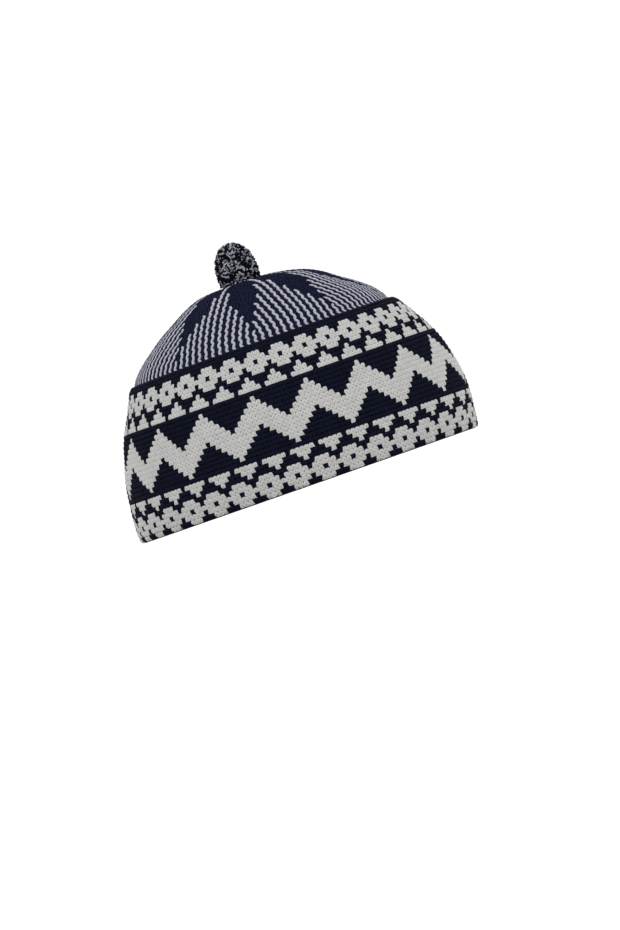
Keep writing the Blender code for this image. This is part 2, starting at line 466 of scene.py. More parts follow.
def new_geometry_tree(name, sizes):
    """A Geometry Nodes tree with a geometry, named inputs of each kind, and a material."""
    group = bpy.data.node_groups.new(name, "GeometryNodeTree")
    group.interface.new_socket("Geometry", in_out="INPUT", socket_type="NodeSocketGeometry")
    for kind, titles in {**sizes, "Material": ("Material",)}.items():
        for title in titles:
            group.interface.new_socket(title, in_out="INPUT", socket_type="NodeSocket" + kind)
    group.interface.new_socket("Geometry", in_out="OUTPUT", socket_type="NodeSocketGeometry")
    tree = Tree(group)
    return tree, tree.node("NodeGroupInput")


def matching(settings, sizes):
    """Values for those of a tree's sizes that the settings hold under the same name."""
    names = {title: title.lower().replace(" ", "_") for title in sizes["Float"]}
    return {title: getattr(settings, name) for title, name in names.items() if hasattr(settings, name)}


def drawn_strand(tree, radius, thickness, half_length, taper=None, lean=0.0, upright=True, **place):
    """Nodes for one closed strand of yarn: a small sphere drawn out along Y or, if not upright, along Z."""
    sizes = {"Segments": STRAND_SIDES, "Rings": STRAND_RINGS, "Radius": 1.0}
    ball = tree.node("GeometryNodeMeshUVSphere", None, sizes)
    shape = stored(tree, ball["Mesh"], BAKE_MAP, ball["UV Map"], "FLOAT2", "CORNER")
    if taper is not None:
        point = tree.node("GeometryNodeInputPosition")["Position"]
        swell = separated(tree, point)["Z"] * taper + 1.0
        tapered = vector_maths(tree, "MULTIPLY", point, combined(tree, X=swell, Y=swell, Z=1.0))
        moved = {"Geometry": shape, "Position": tapered}
        shape = tree.node("GeometryNodeSetPosition", None, moved)["Geometry"]
    inputs = {
        "Geometry": shape,
        "Scale": combined(tree, X=radius, Y=thickness, Z=half_length),
        "Rotation": combined(tree, X=-math.pi / 2 if upright else 0.0, Z=lean),
        "Translation": combined(tree, **place),
    }
    return tree.node("GeometryNodeTransform", None, inputs)["Geometry"]


def finish_strands(tree, given, inputs):
    """Nodes that place the strands, give each its own cell of the map, and set the material."""
    placed = tree.node("GeometryNodeInstanceOnPoints", None, inputs)["Instances"]
    real = tree.node("GeometryNodeRealizeInstances", None, {"Geometry": placed})["Geometry"]
    room = (1 - 2 * CELL_MARGIN,) * 3
    inset = vector_maths(tree, "MULTIPLY_ADD", carried(tree, BAKE_MAP), room, (CELL_MARGIN,) * 3)
    moved = vector_maths(tree, "ADD", inset, carried(tree, "cell"))
    own_cell = vector_maths(tree, "DIVIDE", moved, (CELLS,) * 3)
    shape = stored(tree, real, BAKE_MAP, own_cell, "FLOAT2", "CORNER")
    for name in ("cell", "around", "out", "size"):
        shape = tree.node("GeometryNodeRemoveAttribute", None, {"Geometry": shape, "Name": name})["Geometry"]
    smooth = tree.node("GeometryNodeSetShadeSmooth", None, {"Geometry": shape})["Geometry"]
    dyed = tree.node("GeometryNodeSetMaterial", None, {"Geometry": smooth, "Material": given["Material"]})
    tree.node("NodeGroupOutput", None, {"Geometry": dyed["Geometry"]})


def give_cells(tree, points, seed):
    """Nodes that store a random cell of the map on every point."""
    across, up = (random_value(tree, "INT", 0, CELLS - 1, seed + step) for step in (0, 1))
    return stored(tree, points, "cell", combined(tree, X=across, Y=up), "FLOAT_VECTOR", "POINT")


LEG_SIZES = ("Yarn Radius", "Yarn Depth", "Leg Half Length", "Leg Taper", "Leg Lean", "Leg Spread")
STITCH_SIZES = {
    "Float": (*LEG_SIZES, "Foot Half Length", "Foot Drop", "Foot Out", "Unevenness"),
    "Bool": ("Both Legs", "With Foot"),
    "Int": ("Seed",),
}


def stitch_tree():
    """Stitches on points that carry around, out and size: one leg or two, with a foot behind them or not."""
    tree, given = new_geometry_tree("Knitted stitches", STITCH_SIZES)
    yarn = (given["Yarn Radius"], given["Yarn Depth"])
    leg = (*yarn, given["Leg Half Length"], given["Leg Taper"])
    lean, spread = given["Leg Lean"], given["Leg Spread"]
    stitch = drawn_strand(tree, *leg, lean=lean, X=spread)
    left = drawn_strand(tree, *leg, lean=-lean, X=-spread)
    drop, out = given["Foot Drop"], given["Foot Out"]
    foot = drawn_strand(tree, *yarn, given["Foot Half Length"], lean=math.pi / 2, Y=-drop, Z=out)
    for switch, strand in ((given["Both Legs"], left), (given["With Foot"], foot)):
        more = tree.node("GeometryNodeJoinGeometry", None, {"Geometry": [stitch, strand]})["Geometry"]
        choice = {"Switch": switch, "False": stitch, "True": more}
        stitch = tree.node("GeometryNodeSwitch", {"input_type": "GEOMETRY"}, choice)["Output"]
    facing = tree.node(
        "FunctionNodeAxesToRotation",
        {"primary_axis": "Z", "secondary_axis": "X"},
        {"Primary Axis": carried(tree, "out"), "Secondary Axis": carried(tree, "around")},
    )["Rotation"]
    uneven = random_value(tree, "FLOAT_VECTOR", (-1.0,) * 3, (1.0,) * 3, given["Seed"] + 2)
    nudge = rotation_by(tree, vector_maths(tree, "SCALE", uneven, Scale=given["Unevenness"]))
    inputs = {
        "Points": give_cells(tree, given["Geometry"], given["Seed"]),
        "Instance": stitch,
        "Rotation": rotated(tree, facing, nudge),
        "Scale": carried(tree, "size"),
    }
    finish_strands(tree, given, inputs)
    return tree.tree


YARN_END_SIZES = {
    "Float": ("Ends Per Area", "Yarn Radius", "Half Length", "Tilt", "White Share", "Clumping", "Clump Size"),
    "Bool": ("White",),
    "Int": ("Seed",),
}
LEAST_TILT = 0.35
GROWTH = (0.8, 1.15)


def yarn_end_tree():
    """Cut yarn ends all over a surface, tilted every way: those of the white share, or else the rest."""
    tree, given = new_geometry_tree("Yarn ends", YARN_END_SIZES)
    seed = given["Seed"]
    spread = tree.node(
        "GeometryNodeDistributePointsOnFaces",
        {"distribute_method": "RANDOM"},
        {"Mesh": given["Geometry"], "Density": given["Ends Per Area"], "Seed": seed},
    )
    radius = given["Yarn Radius"]
    point = tree.node("GeometryNodeInputPosition")["Position"]
    clumps = noise(tree, point, given["Clump Size"] ** -1.0)
    share = given["White Share"] + (clumps - 0.5) * given["Clumping"]
    chosen = tree.node(
        "FunctionNodeCompare",
        {"data_type": "FLOAT", "operation": "LESS_THAN"},
        {"A": random_value(tree, "FLOAT", 0.0, 1.0, seed + 3), "B": share},
    )["Result"]
    alike = {0: chosen, 1: given["White"]}
    kept = tree.node("FunctionNodeBooleanMath", {"operation": "XNOR"}, alike)["Boolean"]
    tilt, spin, grow = (
        random_value(tree, "FLOAT", low, high, seed + step)
        for low, high, step in ((LEAST_TILT, 1.0, 4), (0.0, 2 * math.pi, 5), (*GROWTH, 6))
    )
    turned = rotated(tree, spread["Rotation"], rotation_by(tree, combined(tree, Z=spin)))
    inputs = {
        "Points": give_cells(tree, spread["Points"], seed),
        "Selection": kept,
        "Instance": drawn_strand(tree, radius, radius, given["Half Length"], upright=False),
        "Rotation": rotated(tree, turned, rotation_by(tree, combined(tree, X=tilt * given["Tilt"]))),
        "Scale": grow,
    }
    finish_strands(tree, given, inputs)
    return tree.tree


def apply_tree(piece, tree, values):
    """Runs a Geometry Nodes tree on a piece and keeps the plain mesh that it makes."""
    modifier = piece.modifiers.new(tree.name, "NODES")
    modifier.node_group = tree
    for item in tree.interface.items_tree:
        if item.item_type == "SOCKET" and item.in_out == "INPUT" and item.name in values:
            modifier[item.identifier] = values[item.name]
    graph = bpy.context.evaluated_depsgraph_get()
    mesh = bpy.data.meshes.new_from_object(
        piece.evaluated_get(graph), preserve_all_data_layers=True, depsgraph=graph
    )
    if not mesh.polygons:
        raise RuntimeError(f"{piece.name} has no faces")
    old = piece.data
    piece.modifiers.clear()
    piece.data = mesh
    bpy.data.meshes.remove(old)
    mesh.name = piece.name


def add_piece(name, data):
    """A new object in the scene, at the origin."""
    piece = bpy.data.objects.new(name, data)
    bpy.context.scene.collection.objects.link(piece)
    return piece


def fit_to_frame(piece, node):
    """The piece rides on the cap and stands for its node, whose own part is hidden."""
    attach(piece, BODY)
    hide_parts(node)


def loft(name, rings, closed=False, ends=()):
    """A skin through rings of equally many points, mapped evenly round and along.

    It is joined up into a tube if closed, or else given a flat cap at each of the ends that are named.
    """
    rows, steps = len(rings), len(rings[0])
    spans = rows if closed else rows - 1
    margin = CAP_STRIP if ends else 0.0
    faces = []
    corners = []
    for row in range(spans):
        below = row * steps
        above = (row + 1) % rows * steps
        low, high = (margin + (1 - 2 * margin) * line / spans for line in (row, row + 1))
        for step in range(steps):
            there = (step + 1) % steps
            faces.append((below + step, below + there, above + there, above + step))
            left, right = step / steps, (step + 1) / steps
            corners += [(left, low), (right, low), (right, high), (left, high)]
    for end in ends:
        if end == "last":
            order, first, middle = range(steps), (rows - 1) * steps, 1 - margin / 2
        else:
            order, first, middle = range(steps - 1, -1, -1), 0, margin / 2
        faces.append(tuple(first + step for step in order))
        for step in order:
            turn = 2 * math.pi * step / steps
            corners.append((margin / 2 * (1 + math.cos(turn)), middle + margin / 2 * math.sin(turn)))
    mesh = bpy.data.meshes.new(name)
    mesh.from_pydata(np.concatenate(rings).tolist(), [], faces)
    layer = mesh.uv_layers.new(name=BAKE_MAP)
    layer.data.foreach_set("uv", np.array(corners, np.float32).ravel())
    mesh.shade_smooth()
    return mesh


Stitches = namedtuple("Stitches", "place around up out size")


def knit(name, stitches, tree, material, values):
    """Makes one piece of stitches at the given places."""
    mesh = bpy.data.meshes.new(name)
    mesh.from_pydata(stitches.place.tolist(), [], [])
    for title in ("around", "out", "size"):
        layer = mesh.attributes.new(title, "FLOAT_VECTOR", "POINT")
        layer.data.foreach_set("vector", np.asarray(getattr(stitches, title), np.float32).ravel())
    piece = add_piece(name, mesh)
    apply_tree(piece, tree, {**values, "Material": material})
    return piece


def only(stitches, wanted):
    return Stitches(*(values[wanted] for values in stitches))


def together(parts):
    return Stitches(*(np.concatenate(values) for values in zip(*parts)))


def turned_towards(first, second, angle):
    """Two directions at right angles, turned so that the first moves towards the second."""
    cos, sin = math.cos(angle), math.sin(angle)
    return first * cos + second * sin, second * cos - first * sin


def tipped(stitches, angle):
    """The same stitches, each tipped so that its top stands further out."""
    up, out = turned_towards(stitches.up, stitches.out, angle)
    return stitches._replace(up=up, out=out)


def leaned(stitches, angle):
    """The same stitches, each turned in the surface."""
    around, up = turned_towards(stitches.around, stitches.up, angle)
    return stitches._replace(around=around, up=up)


def slip_at(height):
    """How far the wales have slipped round at a height, in wales."""
    heights, wales = zip(*CUFF_SLIPS)
    return np.interp(height / CUFF_HEIGHT, heights, wales)


def cuff_round(place, settings, pitch):
    """One round of cuff stitches at a place."""
    count = settings.wales_round
    wales = np.arange(count)
    level = CLEARANCE + CUFF_WALL - settings.yarn_depth
    ring = Ring(place, level)
    shift = slip_at(float(section_at(np.array(place))[0]))
    stretch = settings.side_stretch * np.sin(2 * math.pi * wales / count) / (2 * math.pi)
    angle = ring.angle(((wales + shift) / count + stretch) * ring.length)
    out = outward(np.full_like(angle, place), angle)
    around = unit(skin(place, angle + SMALL_STEP, level) - skin(place, angle - SMALL_STEP, level))
    width = ring.length / count / settings.wale_width
    size = np.tile((width, pitch / settings.row_height, 1.0), (count, 1))
    return Stitches(skin(place, angle, level), around, np.cross(out, around), out, size)


def cuff_stitches(settings):
    """Every stitch of the cuff, with its row and whether it is off-white."""
    low = float(place_at_height(settings.first_row_height))
    upright = len(CUFF_CHART) - 2
    _, run = place_along(low, CUFF_TOP, 0.0)
    pitch = run / upright
    found = []
    white = []
    for row, line in enumerate(CUFF_CHART):
        beside = min(max(row, 1), upright)
        place, _ = place_along(low, CUFF_TOP, (beside - 0.5) * pitch)
        stitches = cuff_round(float(place), settings, pitch)
        roll = CUFF_ROLLS.get(row, UPRIGHT)
        moved = stitches.place + stitches.up * roll.rise - stitches.out * roll.sink
        size = stitches.size * (1.0, roll.height_share, 1.0)
        found.append(tipped(stitches._replace(place=moved, size=size), settings.tip + roll.turn))
        white += [line[wale % len(line)] == "#" for wale in range(settings.wales_round)]
    rows = np.repeat(np.arange(len(CUFF_CHART)), settings.wales_round)
    return together(found), rows, np.array(white)


def crown_course(place, level, narrowest):
    """One round of the crown: its ring and, for each wedge, its width, its middle and its stripes' width."""
    ring = Ring(place, level, STAR_TURN)
    lines = ring.length_at(STAR_TURN + 2 * math.pi * np.arange(STAR_POINTS + 1) / STAR_POINTS)
    wedges = np.diff(lines)
    middles = (lines[1:] + lines[:-1]) / 2
    return ring, wedges, middles, np.maximum(narrowest, wedges / STRIPES_PER_WEDGE)


def crown_stitches(settings):
    """Every stitch of the crown, with whether it is off-white."""
    level = settings.lift - settings.yarn_depth
    first = CUFF_TOP + CROWN_START
    last = len(SECTIONS) - 2 + CROWN_END
    _, run = place_along(first, last, 0.0)
    courses = int(round(run / settings.course_height))
    pitch = run / courses
    places, _ = place_along(first, last, (np.arange(courses) + 0.5) * pitch)
    narrowest = crown_course(first, level, 0.0)[3] * settings.stripe_share
    half_wedges, distances = zip(*STAR_EDGE)
    found = []
    white = []
    for course, place in enumerate(places.tolist()):
        lean = -settings.wave if course % 2 else settings.wave
        ring, wedges, middles, stripes = crown_course(place, level, narrowest)
        over, _, over_middles, over_stripes = crown_course(place + LOOK_AHEAD, level, narrowest)
        for wedge in range(STAR_POINTS):
            half = wedges[wedge] / 2 / stripes[wedge]
            most = int(half * 2 + HALF_STRIPE_SLACK)
            numbers = np.arange(-most, most + 1)
            if most >= STRIPES_PER_WEDGE:
                numbers = numbers[1:]
            aside = numbers / 2
            angle = ring.angle(middles[wedge] + aside * stripes[wedge])
            above = over.angle(over_middles[wedge] + aside * over_stripes[wedge])
            here = skin(place, angle, level)
            out = outward(np.full_like(angle, place), angle)
            around = unit(np.cross(skin(place + LOOK_AHEAD, above, level) - here, out))
            narrow = stripes[wedge] / 2 / settings.wale_width
            size = np.tile((narrow, pitch / settings.course_height, 1.0), (len(numbers), 1))
            found.append(leaned(Stitches(here, around, np.cross(out, around), out, size), lean))
            white.append((numbers % 2 == 0) & (np.abs(aside) <= np.interp(half, half_wedges, distances)))
    return together(found), np.concatenate(white)


def new_material(name):
    """A material and its node tree, still empty."""
    material = bpy.data.materials.new(name)
    material.use_nodes = True
    material.node_tree.nodes.clear()
    return material, Tree(material.node_tree)


def shades(tree, factor, colour, dark, light):
    """A mix from a dark to a light shade of a colour, each given as a share of it."""
    low, high = ((*(min(part * share, 1.0) for part in colour), 1.0) for share in (dark, light))
    inputs = {"Factor": factor, "A": low, "B": high}
    return tree.node("ShaderNodeMix", {"data_type": "RGBA"}, inputs)["Result"]


def finish_material(tree, colour, roughness, height, bump, gloss=WOOL_GLOSS, sheen=0.0, spread=0.5):
    """The shader of a matt surface. Its bump has a strength and a depth."""
    strength, depth = bump
    relief = tree.node("ShaderNodeBump", None, {"Strength": strength, "Distance": depth, "Height": height})
    inputs = {
        "Base Color": colour,
        "Roughness": roughness,
        "Normal": relief["Normal"],
        "Specular IOR Level": gloss,
        "Sheen Weight": sheen,
        "Sheen Roughness": spread,
    }
    shader = tree.node("ShaderNodeBsdfPrincipled", None, inputs)
    tree.node("ShaderNodeOutputMaterial", None, {"Surface": shader["BSDF"]})


def yarn_material(name, colour, yarn):
    """Plied yarn, mapped once over each strand, round it and along it. Each cell has its own tone, and the
    grooves between the plies are painted darker: painted shade.
    """
    material, tree = new_material(name)
    uv = tree.node("ShaderNodeUVMap", {"uv_map": BAKE_MAP})["UV"]
    large = vector_maths(tree, "SCALE", uv, Scale=float(CELLS))
    cell = vector_maths(tree, "FLOOR", large)
    within = separated(tree, vector_maths(tree, "FRACTION", large))
    turn = within["X"] * (2 * math.pi)
    along = within["Y"]
    shade = tree.node("ShaderNodeTexWhiteNoise", {"noise_dimensions": "3D"}, {"Vector": cell})["Value"]
    twist = (turn * PLIES + along * (2 * math.pi * PLY_TURNS)).sine()
    groove = (twist * 0.5 + 0.5) ** GROOVE_SHARPNESS
    spiral = turn + along * FIBRE_TURNS
    place = combined(
        tree,
        X=spiral.cosine() * FIBRES_ROUND,
        Y=spiral.sine() * FIBRES_ROUND,
        Z=along * FIBRES_ALONG + shade * SHADE_GAP,
    )
    fibres = noise(tree, place, scale=2.2, detail=4.0, roughness=0.65)
    # Painted shade: the colour darkens in the grooves between the plies. The fibre noise, which also raises
    # the bump, lightens it, and each cell's tone differs at random.
    light = groove * 0.30 + fibres * 0.55 + (shade - 0.5) * yarn.unlikeness + 0.055
    finish_material(
        tree,
        shades(tree, light, colour, dark=1 - yarn.flecks, light=1 + yarn.flecks * 0.7),
        roughness=fibres * 0.16 + (yarn.roughness - 0.08),
        height=groove * 0.7 + fibres * 0.5,
        bump=(0.55, 0.0002),
        sheen=yarn.sheen,
        spread=0.6,
    )
    return material


def ground_material(name, colour, wales, rows):
    """The back of the knit: rows of purl bumps in the navy yarn, laid out on the piece's own map. The hollows
    between the bumps are painted darker and the bumps lighter: painted shade.
    """
    material, tree = new_material(name)
    uv = tree.node("ShaderNodeUVMap", {"uv_map": BAKE_MAP})["UV"]
    parts = separated(tree, uv)
    wale = (parts["X"] * (2 * math.pi * wales)).cosine()
    row = (parts["Y"] * (2 * math.pi * rows)).cosine()
    purl = wale * row * 0.5 + 0.5
    fibres = noise(tree, uv, scale=900.0, detail=3.0)
    # Painted shade: darker between the purl bumps and lighter on them, with fibre noise that also raises the
    # bump.
    finish_material(
        tree,
        shades(tree, purl * 0.6 + fibres * 0.4, colour, dark=0.45, light=1.3),
        roughness=fibres * 0.2 + 0.78,
        height=purl * 0.8 + fibres * 0.2,
        bump=(0.8, 0.0008),
        sheen=0.1,
    )
    return material


def tie_material(colour):
    """Navy yarn wound round the tie, as close turns along its height. The grooves between the turns are
    painted darker: painted shade.
    """
    material, tree = new_material("tie_wound_yarn")
    place = tree.node("ShaderNodeTexCoord")["Object"]
    parts = separated(tree, place)
    angle = parts["Y"].maths("ARCTAN2", parts["X"])
    turns = (parts["Z"] * (2 * math.pi / TIE_TURN) + angle).sine() * 0.5 + 0.5
    fibres = noise(tree, place, scale=4000.0, detail=3.0)
    # Painted shade: darker between the turns and lighter on them, with fibre noise that also raises the bump.
    finish_material(
        tree,
        shades(tree, turns * 0.6 + fibres * 0.4, colour, dark=0.4, light=1.4),
        roughness=fibres * 0.2 + 0.75,
        height=turns * 0.8 + fibres * 0.3,
        bump=(0.7, 0.0004),
    )
    return material


def paper_material(colour):
    """Matt paper with a faint tooth."""
    material, tree = new_material("stage_paper")
    tooth = noise(tree, tree.node("ShaderNodeTexCoord")["Object"], scale=900.0)
    finish_material(tree, (*colour, 1.0), roughness=0.9, height=tooth, bump=(0.04, 0.0002), gloss=0.1)
    return material


def a_colour(name, description, default):
    return FloatVectorProperty(
        name=name, description=description, default=default, subtype="COLOR", size=3, min=0.0, max=1.0
    )


def a_length(name, description, default):
    return FloatProperty(name=name, description=description, default=default, unit="LENGTH", precision=5)


def an_angle(name, description, degrees):
    return FloatProperty(name=name, description=description, default=math.radians(degrees), unit="ROTATION")


def a_number(name, description, default, subtype="NONE"):
    return FloatProperty(name=name, description=description, default=default, subtype=subtype)


class CuffSettings(bpy.types.PropertyGroup):
    wales_round: IntProperty(name="Wales Round", description="Stitches in one round", default=216)
    wale_width: a_length("Wale Width", "Width for which the stitch is drawn", 0.0026)
    row_height: a_length("Row Height", "Height for which the stitch is drawn", 0.00265)
    side_stretch: a_number("Side Stretch", "How much wider the wales are at the right side", 0.03)
    first_row_height: a_length("First Row Height", "Height at which the flowers begin", 0.0012)
    yarn_radius: a_length("Yarn Radius", "Half the width of a leg of a stitch", 0.00085)
    yarn_depth: a_length("Yarn Depth", "Half the thickness of a leg of a stitch", 0.00050)
    navy_fullness: a_number("Navy Fullness", "How much wider a navy leg is than a white one", 1.27)
    leg_half_length: a_length("Leg Half Length", "Half the length of a leg", 0.00172)
    foot_half_length: a_length("Foot Half Length", "Half the length of the foot", 0.00222)
    foot_drop: a_length("Foot Drop", "How far the foot lies below the stitch's middle", 0.00092)
    foot_out: a_length("Foot Out", "How far the foot stands out of the stitch's middle", -0.00020)
    leg_taper: a_number("Leg Taper", "How much thicker a leg is at its top", 0.35)
    leg_spread: a_length("Leg Spread", "From the middle of a stitch to the middle of a leg", 0.00086)
    leg_lean: an_angle("Leg Lean", "Lean of a leg", 27)
    tip: an_angle("Tip", "How far each stitch leans out at its top", 6)
    unevenness: an_angle("Unevenness", "Most that a stitch is turned", 4)
    white: a_colour("Off-White", "Colour of the off-white yarn", (0.448, 0.448, 0.438))
    navy: a_colour("Navy", "Colour of the navy yarn", (0.0048, 0.0060, 0.0140))


class CrownSettings(bpy.types.PropertyGroup):
    wale_width: a_length("Wale Width", "Width for which the stitch is drawn", 0.00203)
    course_height: a_length("Course Height", "Height of one course", 0.0024)
    stripe_share: a_number("Stripe Share", "Least width of a stripe against that at the cuff", 0.955)
    yarn_radius: a_length("Yarn Radius", "Half the width of a stitch", 0.00096)
    yarn_depth: a_length("Yarn Depth", "Half the thickness of a stitch", 0.00060)
    lift: a_length("Lift", "How far the stitches stand out of the body's surface", 0.0006)
    leg_half_length: a_length("Leg Half Length", "Half the length of a stitch", 0.00185)
    wave: an_angle("Wave", "Lean of the stitches, left and right in turn", 27)
    unevenness: an_angle("Unevenness", "Most that a stitch is turned", 4)
    white: a_colour("Bluish White", "Colour of the stripes", (0.355, 0.365, 0.43))
    navy: a_colour("Navy", "Colour of the star", (0.0080, 0.0097, 0.0275))


class PompomSettings(bpy.types.PropertyGroup):
    ends: IntProperty(name="Yarn Ends", description="About how many yarn ends show", default=1500)
    yarn_radius: a_length("Yarn Radius", "Half the thickness of an end", 0.00070)
    half_length: a_length("Half Length", "Half the length of an end", 0.0021)
    inset: a_length("Inset", "Depth below the outline at which the ends are rooted", 0.0013)
    white_share: a_number("White Share", "Share of the ends that are off-white", 0.32, "FACTOR")
    clumping: a_number("Clumping", "How much that share differs from clump to clump", 0.9)
    clump_size: a_length("Clump Size", "Width of a clump of ends of one colour", 0.004)
    tilt: an_angle("Tilt", "Most that an end lies over", 68)
    white: a_colour("Grey-White", "Colour of the light ends", (0.25, 0.26, 0.29))
    navy: a_colour("Navy", "Colour of the dark ends", (0.0045, 0.0048, 0.0095))


class StageSettings(bpy.types.PropertyGroup):
    distance: a_length("Camera Distance", "From the cap's middle to the camera", 4.0)
    camera_height: a_length("Camera Height", "Height of the camera above the floor", 0.010)
    aim_forward: a_length("Aim Forward", "How far in front of the middle the camera aims", 0.0028)
    aim_height: a_length("Aim Height", "Height at which the camera aims", 0.011)
    picture_height: a_length("Picture Height", "Height that the picture takes in at the cap", 0.5301)
    roll: an_angle("Roll", "Turn of the picture", 19.3)
    floor_radius: a_length("Floor Radius", "Radius of the flat floor", 5.0)
    bend_radius: a_length("Bend Radius", "Radius of the bend up into the backdrop", 1.5)
    paper: a_colour("Paper", "Colour of the floor and backdrop", (0.93, 0.93, 0.93))
    sky: a_number("Sky", "Strength of the even light from all round", 1.15)


class PrayerCapSettings(bpy.types.PropertyGroup):
    cuff: PointerProperty(type=CuffSettings)
    crown: PointerProperty(type=CrownSettings)
    pompom: PointerProperty(type=PompomSettings)
    stage: PointerProperty(type=StageSettings)


def cap_settings():
    return bpy.context.scene.prayer_cap


def add_ground(name, profile, colour, purl_rows, node):
    """The closed wall under the stitches, from places, distances out of the body and, for some, a level."""
    angles = np.linspace(0.0, 2 * math.pi, GROUND_STEPS, endpoint=False)
    rings = []
    for place, out, level in profile:
        ring = skin(float(place), angles, out)
        if level is not None:
            ring[:, 2] = level
        rings.append(ring)
    mesh = loft(name, rings, closed=True)
    mesh.materials.append(ground_material(f"{name}_knit", colour, PURL_WALES, purl_rows))
    fit_to_frame(add_piece(name, mesh), node)


def turned_rings(profile, steps):
    """Rings round the upright axis, one for each reach and level of a profile."""
    angles = np.linspace(0.0, 2 * math.pi, steps, endpoint=False)
    return [
        np.stack((reach * np.cos(angles), reach * np.sin(angles), np.full_like(angles, level)), axis=-1)
        for reach, level in profile
    ]


class CAP_OT_knit_cuff(bpy.types.Operator):
    """Knits the turned-up cuff from its chart, over the doubled ground that carries it"""

    bl_idname = "cap.knit_cuff"
    bl_label = "Knit Cuff"

    def execute(self, context):
        cuff = cap_settings().cuff
        add_ground("cuff_ground", self.profile(cuff), cuff.navy, CUFF_PURL_ROWS, "cuff_band")
        tree = stitch_tree()
        stitches, rows, white = cuff_stitches(cuff)
        yarns = (
            ("white", white, yarn_material("cuff_off_white_yarn", cuff.white, WHITE_YARN), 1.0),
            ("navy", ~white, yarn_material("cuff_navy_yarn", cuff.navy, NAVY_YARN), cuff.navy_fullness),
        )
        values = {**matching(cuff, STITCH_SIZES), "Both Legs": True, "Seed": CUFF_SEED}
        for band in CUFF_BANDS:
            inside = (rows >= band.first) & (rows <= band.last)
            for title, wanted, yarn, fullness in yarns:
                values["Yarn Radius"] = cuff.yarn_radius * fullness
                values["With Foot"] = title == "white"
                piece = knit(f"cuff_{band.name}_{title}", only(stitches, inside & wanted), tree, yarn, values)
                fit_to_frame(piece, "cuff_band")
                values["Seed"] += SEED_STEP
        return {"FINISHED"}

    def profile(self, cuff):
        """The doubled knit's profile, from the fold's underside up the outside and down the inside."""
        outer = CLEARANCE + CUFF_WALL - 2 * cuff.yarn_depth
        inner = -CROWN_WALL
        rim, rounded, ledge = (place_at_height(height) for height in (0.0, FOLD_ROUNDING, FOLD_HEIGHT))
        bend = CUFF_TOP - SHOULDER_BEND
        upright = np.linspace(ledge, CUFF_TOP - SHOULDER_LEAN, CUFF_GROUND_RINGS)
        return (
            (rim, inner + FOLD_ROUNDING, 0.0),
            (rim, outer - FOLD_ROUNDING / 2, 0.0),
            (rounded, outer, FOLD_ROUNDING),
            *((place, outer, None) for place in upright),
            (bend, outer - EDGE_ROUNDING / 2, None),
            (CUFF_TOP, outer - SHOULDER_SETBACK, None),
            (CUFF_TOP, CLEARANCE + EDGE_ROUNDING / 2, None),
            (bend, CLEARANCE, None),
            *((place, CLEARANCE, None) for place in upright[::-1]),
            (ledge, inner, FOLD_HEIGHT),
            (rounded, inner, FOLD_ROUNDING),
        )


class CAP_OT_knit_crown(bpy.types.Operator):
    """Knits the crown: waved stripes that run up to a navy star, over its ground"""

    bl_idname = "cap.knit_crown"
    bl_label = "Knit Crown"

    def execute(self, context):
        crown = cap_settings().crown
        add_ground("crown_ground", self.profile(crown), crown.navy, CROWN_PURL_ROWS, "crown")
        tree = stitch_tree()
        stitches, white = crown_stitches(crown)
        yarns = (
            ("crown_stripes", white, yarn_material("crown_bluish_white_yarn", crown.white, WHITE_YARN)),
            ("crown_star_navy", ~white, yarn_material("crown_navy_yarn", crown.navy, NAVY_YARN)),
        )
        values = {**matching(crown, STITCH_SIZES), "Seed": CROWN_SEED}
        for name, wanted, yarn in yarns:
            fit_to_frame(knit(name, only(stitches, wanted), tree, yarn, values), "crown")
            values["Seed"] += SEED_STEP
        return {"FINISHED"}

    def profile(self, crown):
        """The profile of the body's own wall, open for the head and at the eyelet."""
        outer = crown.lift - 1.5 * crown.yarn_depth
        low = place_at_height(FOLD_HEIGHT + CLEARANCE)
        below, above = CROWN_GROUND_RINGS
        lower = np.linspace(low, CUFF_TOP, below)
        dome = np.linspace(CUFF_TOP, len(SECTIONS) - 1, above)[1:]
        places = np.concatenate((lower, dome))
        walls = ((places, outer), (places[::-1], -CROWN_WALL))
        return [(place, out, None) for side, out in walls for place in side]


class CAP_OT_make_pompom(bpy.types.Operator):
    """Makes the marled pompom from cut yarn ends over a core, and winds its tie"""

    bl_idname = "cap.make_pompom"
    bl_label = "Make Pompom"

    def execute(self, context):
        pompom = cap_settings().pompom
        core = self.turned_core(pompom)
        area = sum(face.area for face in core.polygons)
        tree = yarn_end_tree()
        values = {**matching(pompom, YARN_END_SIZES), "Ends Per Area": pompom.ends / area}
        yarns = (
            ("white", True, yarn_material("pompom_grey_white_yarn", pompom.white, WHITE_ENDS)),
            ("navy", False, yarn_material("pompom_navy_yarn", pompom.navy, NAVY_ENDS)),
        )
        for title, white, yarn in yarns:
            piece = add_piece(f"pompom_{title}_ends", core.copy())
            apply_tree(piece, tree, {**values, "White": white, "Material": yarn, "Seed": POMPOM_SEED})
            fit_to_frame(piece, "pompom")
        core.materials.append(ground_material("pompom_core_yarn", pompom.navy, *CORE_PURLS))
        fit_to_frame(add_piece("pompom_core", core), "pompom")
        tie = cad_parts["pompom_tie"]
        tie.data.materials.clear()
        tie.data.materials.append(tie_material(cap_settings().crown.navy))
        return {"FINISHED"}

    def turned_core(self, pompom):
        """The core, turned from the pompom's outline."""
        low, high = POMPOM_BOX
        radius = high.x - pompom.inset
        height = high.z - low.z - pompom.inset
        corners = reversed(POMPOM_OUTLINE)
        profile = [(corner.radius * radius, low.z + corner.height * height) for corner in corners]
        return loft("pompom_core", turned_rings(profile, CORE_STEPS), ends=("first", "last"))


